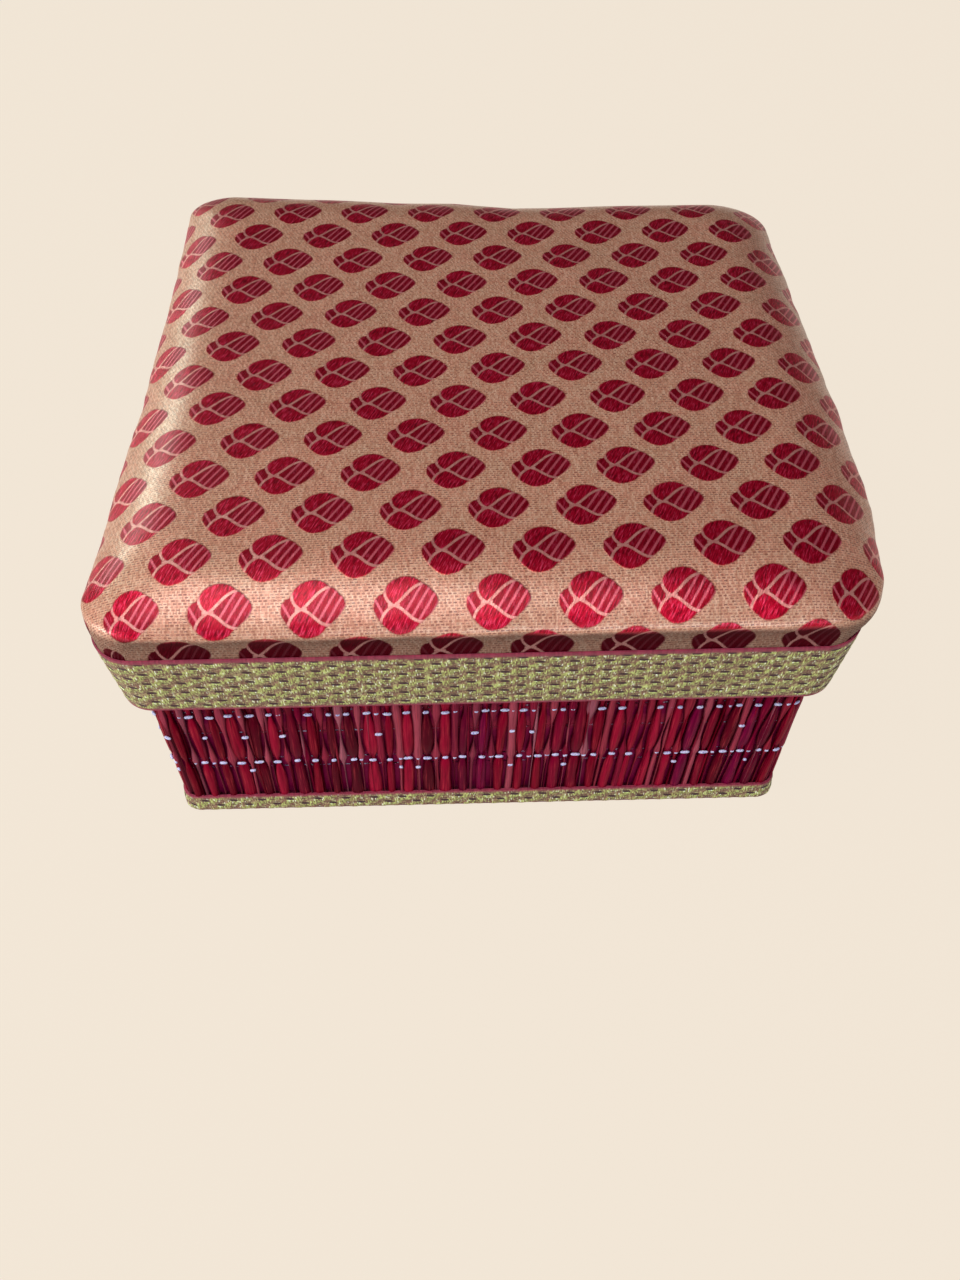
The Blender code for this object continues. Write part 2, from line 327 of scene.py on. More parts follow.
class Net:
    """Adds nodes to one tree and wires them as it goes."""

    def __init__(self, tree):
        self.tree = tree

    def node(self, kind, inputs=None, **settings):
        new = self.tree.nodes.new("ShaderNode" + kind)
        for name, value in settings.items():
            setattr(new, name, value)
        for name, value in (inputs or {}).items():
            self.feed(new.inputs[name], value)
        return new

    def feed(self, socket, value):
        if isinstance(value, bpy.types.NodeSocket):
            self.tree.links.new(value, socket)
        else:
            socket.default_value = value

    def give(self, node, **values):
        """Feeds a node's named sockets. A plain value is set on the socket itself."""
        for name, value in values.items():
            self.feed(node.inputs[name.replace("_", " ")], value)

    def math(self, operation, *values, clamp=False):
        new = self.node("Math", operation=operation, use_clamp=clamp)
        for socket, value in zip(new.inputs, values):
            self.feed(socket, value)
        return new.outputs[0]

    plus = partialmethod(math, "ADD")
    minus = partialmethod(math, "SUBTRACT")
    times = partialmethod(math, "MULTIPLY")
    times_plus = partialmethod(math, "MULTIPLY_ADD")
    over = partialmethod(math, "DIVIDE")
    size = partialmethod(math, "ABSOLUTE")
    most = partialmethod(math, "MAXIMUM")
    least = partialmethod(math, "MINIMUM")
    fraction = partialmethod(math, "FRACT")
    sine = partialmethod(math, "SINE")

    def odd(self, value):
        return self.math("FLOORED_MODULO", value, 2.0)

    def cell(self, value, pitch=None):
        """The number of the whole step of the pitch that a value lies in."""
        return self.math("FLOOR", self.over(value, pitch) if pitch else value)

    def off_centre(self, value):
        """How far a value lies from the middle of its own whole step."""
        return self.size(self.minus(self.fraction(value), 0.5))

    def wrap(self, value, pitch):
        """A value brought to within half a pitch of 0."""
        return self.math("WRAP", value, pitch / 2, -pitch / 2)

    def step(self, value, edge, softness):
        """1 where value is well above edge, 0 well below, with a soft change between."""
        lifted = self.minus(value, edge)
        return self.times_plus(lifted, 1 / softness, 0.5, clamp=True)

    def blend(self, factor, first, second):
        """A colour between two others."""
        return self.node("Mix", {0: factor, 6: first, 7: second}, data_type="RGBA").outputs[2]

    def tint(self, mask, share, base, colour):
        """A base colour that takes on a share of another one where the mask is 1."""
        return self.blend(self.times(mask, share), base, colour)

    def mix(self, factor, first, second):
        """A number between two others."""
        return self.node("Mix", {0: factor, 2: first, 3: second}, data_type="FLOAT").outputs[0]

    def between(self, factor, low, high):
        """A number between low and high, for a factor that is held to 0 to 1."""
        return self.node("MapRange", {"Value": factor, "To Min": low, "To Max": high}).outputs[0]

    def vector(self, x, y, z=0.0):
        return self.node("CombineXYZ", {"X": x, "Y": y, "Z": z}).outputs[0]

    def split(self, vector):
        new = self.node("SeparateXYZ", {"Vector": vector})
        return new.outputs[0], new.outputs[1], new.outputs[2]

    def stretch(self, vector, x, y, z=1.0):
        scaled = self.node("VectorMath", {0: vector, 1: (x, y, z)}, operation="MULTIPLY")
        return scaled.outputs[0]

    def cloud(self, vector, scale, detail=2.0, roughness=0.5):
        new = self.node("TexNoise", {
            "Vector": vector, "Scale": scale, "Detail": detail, "Roughness": roughness})
        return new.outputs[0]

    def dice(self, x, y, z=0.0):
        """A random number for each whole-number place."""
        place = self.vector(x, y, z)
        return self.node("TexWhiteNoise", {"Vector": place}, noise_dimensions="3D").outputs[0]

    def ramp(self, factor, *stops):
        """A colour ramp. Each stop is its place and its sRGB colour."""
        new = self.node("ValToRGB", {"Fac": factor})
        while len(new.color_ramp.elements) < len(stops):
            new.color_ramp.elements.new(0.5)
        for element, (place, *colour) in zip(new.color_ramp.elements, stops):
            element.position = place
            element.color = srgb(*colour)
        return new.outputs[0]

    def group(self, tree, **inputs):
        new = self.node("Group", node_tree=tree)
        self.give(new, **inputs)
        return new.outputs

    def attribute(self, name):
        return self.node("Attribute", attribute_name=name).outputs["Fac"]


VALUE = "NodeSocketFloat"
VECTOR = "NodeSocketVector"


class Effect(Net):
    """A node group with named inputs."""

    def __init__(self, name, **inputs):
        super().__init__(bpy.data.node_groups.new(name, "ShaderNodeTree"))
        for label, kind in inputs.items():
            self.tree.interface.new_socket(label, in_out="INPUT", socket_type=kind)
        self.inputs = self.tree.nodes.new("NodeGroupInput").outputs

    def end(self, **values):
        """Gives the group an output for each value."""
        for label in values:
            self.tree.interface.new_socket(label, in_out="OUTPUT", socket_type=VALUE)
        self.give(self.tree.nodes.new("NodeGroupOutput"), **values)
        return self.tree


class Finish(Net):
    """A material with one Principled shader. Constants go straight on the shader's own sockets."""

    def __init__(self, name, roughness, **constants):
        self.material = bpy.data.materials.new(name)
        self.material.use_nodes = True
        super().__init__(self.material.node_tree)
        self.shader = self.tree.nodes["Principled BSDF"]
        self.give(self.shader, Roughness=roughness, **constants)

    def end(self, height, depth, **values):
        """Feeds the shader all that changes over the surface, with a bump of the depth from the height."""
        bump = self.node("Bump", {"Strength": 1.0, "Distance": depth, "Height": height})
        self.give(self.shader, Normal=bump.outputs[0], **values)
        return self.material


# Shared effects

def make_buti_group():
    """One leaf-like buti of the brocade, from a place in mm about the crossing of its veins."""
    net = Effect("buti", X=VALUE, Y=VALUE)
    x, y = net.inputs["X"], net.inputs["Y"]

    def length(across, deep):
        return net.math("SQRT", net.times_plus(across, across, net.times(deep, deep)))

    from_centre_x = net.minus(x, BUTI_CENTRE[0])
    from_centre_y = net.minus(y, BUTI_CENTRE[1])
    reach = length(from_centre_x, from_centre_y)
    turn = net.fraction(net.over(net.math("ARCTAN2", from_centre_y, from_centre_x), math.tau))
    edge_curve = net.node("FloatCurve", {"Value": turn})
    line = edge_curve.mapping.curves[0]
    line.points[0].location = (0.0, BUTI_END_RADIUS / 10)
    line.points[-1].location = (1.0, BUTI_END_RADIUS / 10)
    for degrees, radius in BUTI_OUTLINE:
        line.points.new(degrees / 360, radius / 10)
    edge_curve.mapping.update()
    petal = net.step(net.times(edge_curve.outputs[0], 10.0), reach, 0.35)

    # Four veins curve out from the crossing, which is itself a short bar across
    out = length(x, y)
    facing = net.math("DEGREES", net.math("ARCTAN2", y, x))
    turned = []
    nearest = BUTI_ACROSS
    for start, slope, curl in BUTI_VEINS:
        curled = net.times_plus(out, curl, slope)
        heading = net.times_plus(out, curled, start)
        away = net.wrap(net.minus(facing, heading), 360.0)
        turned.append(away)
        swept = net.times(net.size(away), out)
        nearest = net.least(nearest, net.times(swept, math.pi / 180))
    crossing = net.most(net.minus(net.size(x), CROSSING_HALF), net.size(y))
    nearest = net.least(nearest, crossing)
    vein = net.step(VEIN_WIDTH / 2, nearest, WOVEN_EDGE)

    def sector(after, before):
        """1 between two veins."""
        return net.times(net.step(after, 0.0, 4.0), net.step(0.0, before, 4.0))

    def slanted(lean):
        return net.times_plus(x, math.sin(STRIPE_HEADING), net.times(y, lean * math.cos(STRIPE_HEADING)))

    right_sector = sector(turned[3], turned[0])
    left_sector = sector(turned[1], turned[2])
    place = net.wrap(net.minus(slanted(-1), STRIPE_PLACE), STRIPE_PITCH)
    right = net.times(net.step(STRIPE_WIDTH / 2, net.size(place), WOVEN_EDGE), right_sector)
    right = net.times(right, net.step(slanted(-1), STRIPES_FROM, WOVEN_EDGE))
    left_place = net.size(net.minus(slanted(1), LEFT_STRIPE_PLACE))
    left = net.times(net.step(STRIPE_WIDTH / 2, left_place, WOVEN_EDGE), left_sector)
    stripe = net.times(net.most(right, left), petal)
    shade = net.times(net.most(right_sector, left_sector), petal)
    return net.end(Silk=petal, Vein=net.times(vein, petal), Stripe=stripe, Shade=shade)


def make_streaks_group():
    """Long soft streaks along Y of Place, with a broken edge, as slubs in a yarn or fibres in a stem."""
    net = Effect("long_streaks", Place=VECTOR, Width=VALUE, Length=VALUE)
    x, y, z = net.split(net.inputs["Place"])
    squeezed = net.vector(net.over(x, net.inputs["Width"]), net.over(y, net.inputs["Length"]), z)
    return net.end(Streak=net.cloud(squeezed, 1.0, 3.0, 0.6))


def make_dust_group():
    """Dust and handling marks: 0 where clean, 1 where dull, in soft patches."""
    net = Effect("dull_patches", Place=VECTOR, Scale=VALUE)
    cloud = net.cloud(net.inputs["Place"], net.inputs["Scale"], 4.0, 0.6)
    return net.end(Dull=net.step(cloud, 0.55, 0.35))


BUTI = make_buti_group()
STREAKS = make_streaks_group()
DULL = make_dust_group()


def uv_in_mm(net):
    source = net.node("UVMap", uv_map="cloth_uv").outputs[0]
    return net.stretch(source, 1000.0, 1000.0)


def object_in_mm(net):
    source = net.node("TexCoord").outputs["Object"]
    return net.stretch(source, 1000.0, 1000.0, 1000.0)


# Finishes

def make_brocade():
    """Satin brocade: a ground of metal thread and brown-rose silk, with crimson silk butis."""
    net = Finish("brocade_cloth", 0.4, Specular_IOR_Level=0.0, Coat_Roughness=0.32)
    place = uv_in_mm(net)
    across, deep, _ = net.split(place)
    from_start_x = net.minus(across, BUTI_START[0])
    from_start_y = net.minus(deep, BUTI_START[1])
    u = net.times_plus(from_start_x, CLOTH_PULL[0][0], net.times(from_start_y, CLOTH_PULL[0][1]))
    v = net.times_plus(from_start_y, CLOTH_PULL[1][0], net.times(from_start_x, CLOTH_PULL[1][1]))

    # The outlines go half in steps of one thread
    u_line, v_line = [net.mix(0.5, line, net.math("SNAP", line, THREAD_STEP)) for line in (u, v)]

    def repeated(line, drop, centre, pitch):
        """A place brought into one repeat, which has a buti's middle at its own."""
        return net.plus(net.wrap(net.minus(line, drop * pitch + centre), pitch), centre)

    leaves = [
        net.group(BUTI, X=repeated(u_line, drop, BUTI_CENTRE[0], BUTI_ACROSS),
                  Y=repeated(v_line, drop, BUTI_CENTRE[1], BUTI_DEEP)) for drop in (0.0, 0.5)]
    silk, vein, stripe, shade = [
        net.most(leaves[0][name], leaves[1][name]) for name in ("Silk", "Vein", "Stripe", "Shade")]

    # Ground: short brown-rose dashes in a twill over metal thread, with slubs down the cloth
    row = net.cell(v, WEFT_PITCH)
    along_row = net.times_plus(row, TWILL_SHIFT, net.over(u, DASH_PITCH))
    in_dash = net.off_centre(along_row)
    in_row = net.off_centre(net.over(v, WEFT_PITCH))
    grain = net.dice(net.cell(along_row), row)
    dash = net.times(net.step(0.34, in_dash, 0.18), net.step(0.2, in_row, 0.2))
    dash = net.times(dash, net.between(grain, 0.4, 0.9))
    slub = net.group(STREAKS, Place=place, Width=0.5, Length=6.0)["Streak"]
    patch = net.cloud(place, 0.1)
    metal_colour = net.ramp(slub, (0.3, 198, 126, 102), (0.5, 220, 146, 121), (0.7, 238, 172, 147))
    metal_colour = net.tint(net.step(patch, 0.5, 0.5), 0.35, metal_colour, srgb(186, 156, 122))
    rose = net.blend(grain, srgb(160, 88, 78), srgb(116, 54, 50))
    speckle = net.dice(net.cell(u, THREAD_STEP), row, 6.0)
    glint = net.step(speckle, 0.65, 0.4)
    # The glinting threads are also painted paler: a painted glint
    metal_colour = net.tint(glint, 0.35, metal_colour, srgb(240, 208, 178))
    metal_colour = net.tint(net.step(0.2, speckle, 0.3), 0.3, metal_colour, srgb(134, 92, 66))
    ground = net.blend(dash, metal_colour, rose)

    # Silk: slanted floats of varying tone. The palest pink floats and the pale pink flecks are painted
    # sheen. The striped parts are darker.
    slanted = net.vector(net.times_plus(v, -0.4, u), v)
    floats = net.group(STREAKS, Place=slanted, Width=0.36, Length=2.4)["Streak"]
    crimson = net.ramp(
        floats, (0.38, 122, 0, 24), (0.47, 172, 0, 34), (0.56, 194, 8, 48), (0.66, 226, 60, 96))
    crimson = net.tint(shade, 0.6, crimson, srgb(132, 0, 22))
    fleck = net.dice(net.cell(u, 0.34), net.cell(v, 0.9), 11.0)
    crimson = net.tint(net.step(fleck, 0.9, 0.08), 0.25, crimson, srgb(224, 70, 104))
    colour = net.blend(silk, ground, crimson)
    colour = net.blend(stripe, colour, srgb(218, 96, 112))
    colour = net.blend(vein, colour, net.blend(grain, srgb(216, 132, 126), srgb(232, 158, 148)))

    # Painted shade: the cloth's colour is darkened under the crease, where the roll shades it
    painted_shade = net.attribute("painted_shade")
    plain_silk = net.minus(silk, vein, clamp=True)
    painted_shade_strength = net.between(plain_silk, 0.6, 0.92)
    painted_shade_colour = net.blend(plain_silk, srgb(66, 54, 48), srgb(52, 0, 8))
    colour = net.tint(painted_shade, painted_shade_strength, colour, painted_shade_colour)

    # Metal thread and silk shine, least where the shade under the crease is painted
    metal = net.times(net.minus(1.0, net.times(dash, 0.7)), net.minus(1.0, silk, clamp=True))
    metal = net.times_plus(silk, 0.6, net.times(metal, 0.28))
    gloss = net.between(silk, net.between(glint, 0.7, 1.0), 0.34)
    outside_painted_shade = net.times_plus(painted_shade, -0.8, 1.0)
    twist = net.times_plus(dash, -0.6, net.times(grain, 0.7))
    fine = net.mix(silk, twist, net.times(floats, 2.2))
    raised = net.times_plus(stripe, -0.3, net.times_plus(silk, 0.7, fine))
    return net.end(
        raised, 0.1 * MM, Base_Color=colour, Metallic=net.times(metal, outside_painted_shade),
        Coat_Weight=net.times(gloss, outside_painted_shade), Roughness=net.between(silk, 0.36, 0.34))


def make_ribbon():
    """Woven ribbon: flecks of gold thread, columns of plum dashes, slanted floats and rose selvedges."""
    net = Finish("ribbon_weave", 0.4)
    place = uv_in_mm(net)
    along, up, _ = net.split(place)
    wobble = net.times_plus(net.cloud(place, 1.4), 0.5, -0.25)
    repeats_up = net.over(up, RIBBON_REPEAT / MM)
    column = net.plus(net.over(along, RIBBON_COLUMN / MM), net.times(wobble, 0.25))
    beside = net.off_centre(column)
    rise = net.times_plus(net.odd(net.cell(column)), 0.5, repeats_up)
    apart = net.size(net.wrap(rise, 1.0))
    between_dashes = net.minus(0.5, apart)
    strong = net.step(0.12, net.times_plus(beside, 0.16, apart), 0.06)
    weak = net.step(0.065, net.times_plus(beside, 0.2, between_dashes), 0.07)
    quarter = net.size(net.minus(apart, 0.25))
    hair = net.step(0.03, quarter, 0.05)
    near = net.step(0.29, beside, 0.1)
    dash = net.most(strong, net.times(weak, 0.55))
    dash = net.times(net.most(dash, net.times(hair, 0.4)), near)

    # Slanted floats join each dash to the next one, a column on and half a repeat higher
    slant = net.minus(repeats_up, net.over(along, 2 * RIBBON_COLUMN / MM))
    slant = net.times_plus(wobble, 0.1, slant)
    from_line = net.size(net.wrap(slant, 1.0))
    float_line = net.step(0.04, from_line, 0.06)
    stroke = net.step(from_line, 0.24, 0.2)

    # Gold warp in short upright flecks. The palest, near-white flecks are painted glints.
    warp = net.cell(along, 0.26)
    weft = net.cell(net.plus(net.over(up, 0.7), net.dice(warp, 4.0)))
    fleck = net.dice(warp, weft, 2.0)
    gold_share = net.times_plus(fleck, 0.8, net.times_plus(stroke, 0.5, -0.35))
    gold_colour = net.ramp(
        fleck, (0.0, 108, 98, 58), (0.3, 158, 160, 84), (0.7, 190, 198, 114), (0.93, 216, 226, 146),
        (0.98, 250, 250, 226))
    rose_ground = net.blend(fleck, srgb(126, 82, 66), srgb(196, 156, 126))
    colour = net.blend(net.times(gold_share, 1.3, clamp=True), rose_ground, gold_colour)
    colour = net.tint(float_line, 0.65, colour, srgb(96, 64, 44))
    colour = net.blend(dash, colour, srgb(62, 26, 34))
    selvedge_mask = net.attribute("selvedge")
    rib = net.dice(net.cell(along, 0.42), 2.0)
    selvedge = net.blend(rib, srgb(166, 58, 82), srgb(138, 42, 66))
    colour = net.blend(selvedge_mask, colour, selvedge)
    woven = net.minus(1.0, selvedge_mask, clamp=True)
    dark = net.most(dash, net.times(float_line, 0.6))
    metal = net.times(net.minus(gold_share, dark, clamp=True), woven)
    height = net.times_plus(dark, -0.9, net.times_plus(fleck, 0.6, net.times(stroke, 0.5)))
    height = net.times_plus(rib, net.times(selvedge_mask, 0.5), net.times(height, woven))
    return net.end(height, 0.12 * MM, Base_Color=colour, Metallic=net.times(metal, 0.6),
                   Roughness=net.between(metal, 0.6, 0.34))


def make_grass():
    """Dyed split stems. The UV map counts stems across, so each has its own tone. Odd ones are dull."""
    net = Finish("dyed_grass", 0.45, Specular_IOR_Level=0.0, Metallic=0.35)
    source = net.node("UVMap", uv_map="cloth_uv").outputs[0]
    across, up, _ = net.split(source)
    number = net.cell(across)
    dull_stem = net.odd(number)
    glossy_colour = net.ramp(
        net.dice(number, 5.0), (0.0, 84, 0, 26), (0.18, 124, 0, 30), (0.36, 152, 4, 44), (0.5, 176, 18, 58),
        (0.62, 140, 0, 36), (0.75, 124, 2, 60), (0.86, 98, 0, 34), (1.0, 168, 16, 50))
    dull_colour = net.ramp(
        net.dice(number, 9.0), (0.0, 154, 34, 62), (0.3, 184, 80, 98), (0.55, 160, 42, 62),
        (0.75, 130, 4, 48), (1.0, 190, 110, 126))
    colour = net.blend(dull_stem, glossy_colour, dull_colour)
    # Each blade is painted darker towards its edges: painted shade for roundness and depth
    edge = net.off_centre(across)
    colour = net.tint(net.step(edge, 0.36, 0.2), 0.5, colour, srgb(62, 0, 20))
    fibre_place = net.vector(net.times(across, 2.2), net.times(up, 1000.0), number)
    fibre = net.group(STREAKS, Place=fibre_place, Width=0.3, Length=10.0)["Streak"]
    pale = net.times(net.step(fibre, 0.62, 0.14), net.between(dull_stem, 0.4, 0.5))
    colour = net.blend(pale, colour, srgb(206, 70, 76))
    colour = net.tint(net.step(0.42, fibre, 0.2), 0.5, colour, srgb(64, 0, 18))
    roughness = net.between(net.times_plus(fibre, 0.3, dull_stem), 0.32, 0.6)
    return net.end(fibre, 0.12 * MM, Base_Color=colour, Roughness=roughness)


def make_thread():
    """Cotton with a lilac cast."""
    net = Finish("binding_cotton", 0.55)
    fuzz = net.cloud(object_in_mm(net), 3.0, 3.0)
    colour = net.ramp(fuzz, (0.3, 140, 130, 200), (0.48, 206, 198, 236), (0.75, 240, 236, 250))
    return net.end(fuzz, 0.1 * MM, Base_Color=colour)


def make_lining():
    """Plain crimson cloth, woven along the box's own directions."""
    net = Finish("crimson_lining", 0.75)
    place = object_in_mm(net)
    waves = [net.sine(net.times(part, math.tau / 0.6)) for part in net.split(place)]
    weave = net.times_plus(waves[0], waves[1], net.times(waves[2], waves[0]))
    weave = net.times_plus(waves[1], waves[2], weave)
    slub = net.cloud(net.stretch(place, 0.3, 2.0, 0.8), 0.8, 3.0)
    dull = net.group(DULL, Place=place, Scale=0.05)["Dull"]
    colour = net.blend(slub, srgb(128, 10, 38), srgb(160, 24, 54))
    colour = net.tint(dull, 0.15, colour, srgb(150, 70, 84))
    return net.end(net.times_plus(slub, 1.5, weave), 0.06 * MM,
                   Base_Color=colour, Roughness=net.between(weave, 0.68, 0.82))


def make_card():
    """Grey-brown board with darker fibres."""
    net = Finish("card_board", 0.85)
    place = object_in_mm(net)
    fibre = net.group(STREAKS, Place=place, Width=0.25, Length=1.6)["Streak"]
    layer = net.cloud(net.stretch(place, 0.2, 0.2, 6.0), 1.0)
    colour = net.blend(fibre, srgb(196, 170, 132), srgb(166, 138, 104))
    colour = net.tint(net.step(layer, 0.6, 0.2), 0.3, colour, srgb(130, 108, 84))
    return net.end(fibre, 0.08 * MM, Base_Color=colour)


def make_paper():
    """Maroon cloth-faced paper of the underside, in a plain weave, rubbed in soft patches."""
    net = Finish("cover_paper", 0.7)
    place = object_in_mm(net)
    x, y, _ = net.split(net.stretch(place, 1.6, 1.6, 1.6))
    over = net.odd(net.plus(net.cell(x), net.cell(y)))
    warp = net.sine(net.times(net.fraction(x), math.pi))
    weft = net.sine(net.times(net.fraction(y), math.pi))
    tone = net.mix(over, net.dice(net.cell(x), 3.0), net.dice(7.0, net.cell(y)))
    dull = net.group(DULL, Place=place, Scale=0.08)["Dull"]
    colour = net.blend(tone, srgb(112, 24, 40), srgb(132, 34, 50))
    colour = net.tint(dull, 0.35, colour, srgb(156, 92, 92))
    return net.end(net.mix(over, warp, weft), 0.06 * MM,
                   Base_Color=colour, Roughness=net.between(dull, 0.6, 0.85))


FINISHES = {
    "brocade": make_brocade(),
    "ribbon": make_ribbon(),
    "grass": make_grass(),
    "thread": make_thread(),
    "lining": make_lining(),
    "card": make_card(),
    "paper": make_paper(),
}


def paint(piece, slot):
    piece.data.materials.clear()
    piece.data.materials.append(FINISHES[slot])


# Padded brocade cover

def plan_ring(offset, softness):
    """Points and outward normals of a ring of the cover. Every ring has the same number of points.

    Softness is 0 where the corners are those of the card hoop, and 1 where they are the pad's own.
    """
    half = np.array([HALF_WIDTH, HALF_DEPTH]) + offset
    hard = max(CORNER_RADIUS + offset, SMALLEST_RADIUS)
    radii = [min(hard + (soft - hard) * softness, half.min() - 0.2 * MM) for soft in PAD_CORNER_RADII]
    centres = [np.array(side) * (half - radius) for side, radius in zip(CORNER_SIDES, radii)]
    places = []
    normals = []
    for quarter, (centre, radius) in enumerate(zip(centres, radii)):
        for step in range(COVER_CORNER_STEPS + 1):
            angle = math.radians(90 * (quarter - 1 + step / COVER_CORNER_STEPS))
            normal = np.array([math.cos(angle), math.sin(angle)])
            places.append(centre + radius * normal)
            normals.append(normal)
        start = places[-1]
        following = (quarter + 1) % 4
        finish = centres[following] + radii[following] * normals[-1]
        for step in range(1, COVER_SIDE_STEPS):
            places.append(start + (finish - start) * step / COVER_SIDE_STEPS)
            normals.append(normals[-1])
    return np.array(places), np.array(normals)


def ribbon_face(height):
    """Offset of the lid ribbon's outer face, which leans out as it rises."""
    lean = np.interp(height, (lid_ribbon_low.z, lid_ribbon_high.z), LID_RIBBON_LEAN)
    return lid_ribbon_high.x - HALF_WIDTH + lean


def cover_profile():
    """Offset and height of each outer ring of the cover, from its hem up and over to the middle.

    Also gives the offset where the roll ends and the flat top begins.
    """
    behind = LID_RIBBON_THICKNESS + COVER_CLEARANCE
    crease = cover_high.x - HALF_WIDTH
    flat_height = cover_high.z - PAD_CROWN
    profile = [(ribbon_face(cover_low.z) - behind, cover_low.z)]
    edge_height = lid_ribbon_high.z - 0.4 * MM
    edge = ribbon_face(edge_height) - behind
    for step in range(FLANK_RINGS):
        share = step / FLANK_RINGS
        profile.append((edge + (crease - edge) * share ** 2.6,
                        edge_height + (lid_board_top - edge_height) * share))
    for step in range(ROLL_RINGS):
        inward = (step / ROLL_RINGS) ** 1.7
        dome = 1 - (1 - inward) ** PAD_ROUNDNESS
        barrel = dome ** (1 / PAD_ROUNDNESS)
        profile.append((crease - PAD_ROLL * inward,
                        lid_board_top + (flat_height - lid_board_top) * (0.72 * dome + 0.28 * barrel)))
    roll_end = crease - PAD_ROLL
    for step in range(TOP_RINGS):
        share = step / (TOP_RINGS - 1)
        profile.append((roll_end + (INNERMOST - roll_end) * share,
                        flat_height + PAD_CROWN * min(1.0, share * 2.5)))
    return profile, roll_end


def ripple(x, y, layer, fineness):
    return noise.noise(Vector((x, y, layer)) * fineness)


def settle_cover(places, spots):
    """Moves the cover's points as the pad does: to the right, fuller at sides and back, soft all over."""
    height = places[:, 2]
    rise = np.clip((height - lid_ribbon_high.z) / (lid_board_top - lid_ribbon_high.z), 0.0, 1.0)
    rise = rise ** 2 * (3 - 2 * rise)

    def along_edge(table, places_along):
        return np.interp(places_along / MM, *zip(*table)) * MM

    back = np.clip(places[:, 1] / HALF_DEPTH, 0.0, 1.0) ** 2
    reach = along_edge(BACK_FULLNESS, places[:, 0]) * back * rise
    side = np.clip(np.abs(places[:, 0]) / HALF_WIDTH, 0.0, 1.1) ** 6
    right = along_edge(RIGHT_FULLNESS, places[:, 1])
    settled = places.copy()
    settled[:, 0] += along_edge(TOP_SHIFT, places[:, 1]) * rise
    settled[:, 0] += side * np.where(places[:, 0] < 0.0, -LEFT_FULLNESS * MM, right) * rise
    settled[:, 1] += 0.65 * reach
    settled[:, 2] += 0.4 * reach * np.clip(reach / MM, 0.0, 1.0)
    for index in np.nonzero(rise > 0.0)[0]:
        x, y = places[index, :2]
        soft = ripple(x, y, 0.0, 30.0) + 0.5 * ripple(x, y, 1.0, 75.0)
        settled[index, 2] += 0.3 * MM * soft * rise[index]
        x, y, *outward = spots[index]
        pucker = ripple(x, y, 2.0, 95.0) + 0.6 * ripple(x, y, 5.0, 230.0)
        closeness = max(0.0, 1 - abs(height[index] - lid_board_top) / PUCKER_HEIGHT)
        settled[index, :2] += np.array(outward) * 0.34 * MM * pucker * closeness
        settled[index, 2] += 0.5 * MM * ripple(x, y, 9.0, 60.0) * closeness ** 2
    return settled


def make_cover():
    """The cloth drawn over the pad: one closed skin from the hem up over the top and back inside."""
    profile, roll_end = cover_profile()
    rings = []
    ring_uv = []
    arc = np.concatenate([[0.0], np.cumsum([math.dist(a, b) for a, b in zip(profile, profile[1:])])])
    flat_start = 1 + FLANK_RINGS + ROLL_RINGS
    crease_places, crease_normals = plan_ring(cover_high.x - HALF_WIDTH, 1.0)

    def add_ring(offset, height, softness=0.0, slack=0.0, groove=0.0):
        places, normals = plan_ring(offset, softness)
        along_side = 1 - 2 * np.abs(normals[:, 0] * normals[:, 1])
        places = places - normals * (groove * along_side)[:, None]
        rings.append(np.column_stack([places, np.full(len(places), height)]))
        ring_uv.append(places + normals * slack)

    inner_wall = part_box("lid_rim_hoop")[1].x - HALF_WIDTH + COVER_CLEARANCE
    inner_top = lid_board_top + GLUE_GAP
    add_ring(INNERMOST, inner_top)
    add_ring(roll_end, inner_top)
    add_ring(inner_wall, inner_top)
    add_ring(inner_wall, cover_low.z)
    for index, (offset, height) in enumerate(profile):
        climb = np.interp(height, (lid_ribbon_high.z, lid_board_top), (0.0, 1.0))
        slack = arc[flat_start] - arc[index] - (offset - roll_end)
        add_ring(offset, height, climb ** 3, max(slack, 0.0), FOLD_DEPTH * math.sin(math.pi * climb))
    count = len(rings[0])
    faces = []
    for ring in range(len(rings) - 1):
        for k in range(count):
            after = (k + 1) % count
            faces.append((ring * count + k, ring * count + after,
                          (ring + 1) * count + after, (ring + 1) * count + k))
    last = (len(rings) - 1) * count
    faces.append(tuple(last + k for k in range(count)))
    faces.append(tuple(reversed(range(count))))
    mesh = bpy.data.meshes.new("padded_lid_cover")
    mesh.from_pydata(np.concatenate(rings).tolist(), [], faces)
    uv = np.concatenate(ring_uv)
    spots = np.tile(np.column_stack([crease_places, crease_normals]), (len(rings), 1))
    outer = np.arange(len(uv)) >= INNER_RINGS * count
    places = coordinates(mesh)
    settled = places.copy()
    settled[outer] = settle_cover(places[outer], spots[outer])
    set_coordinates(mesh, settled)
    uv += settled[:, :2] - places[:, :2]

    # Under the crease the pattern runs on at the cloth's own length
    crease_tangents = np.column_stack([-crease_normals[:, 1], crease_normals[:, 0]])
    for ring in range(INNER_RINGS + FLANK_RINGS, INNER_RINGS - 1, -1):
        here = slice(ring * count, (ring + 1) * count)
        above = slice((ring + 1) * count, (ring + 2) * count)
        step = settled[here] - settled[above]
        sideways = np.sum(step[:, :2] * crease_tangents, axis=1)
        down = np.sqrt(np.sum(step ** 2, axis=1) - sideways ** 2)
        uv[here] = uv[above] + crease_tangents * sideways[:, None] + crease_normals * down[:, None]
    set_uv(mesh, uv[:, 0], uv[:, 1])
    # Painted shade: the cloth under the crease is marked for darkening over a short height below the
    # board's top, most on the front side
    painted_shade = np.clip((lid_board_top - places[:, 2]) / PAINTED_SHADE_HEIGHT, 0.0, 1.0)
    set_mask(mesh, "painted_shade", painted_shade * (0.65 + 0.35 * np.clip(-spots[:, 3], 0.0, 1.0)))
    piece = add_object("padded_lid_cover", mesh)
    finish_piece(piece, "padded_lid_cover", "lid", "brocade", ("brocade_cover", "foam_pad"), sharp=60)


# Ribbons

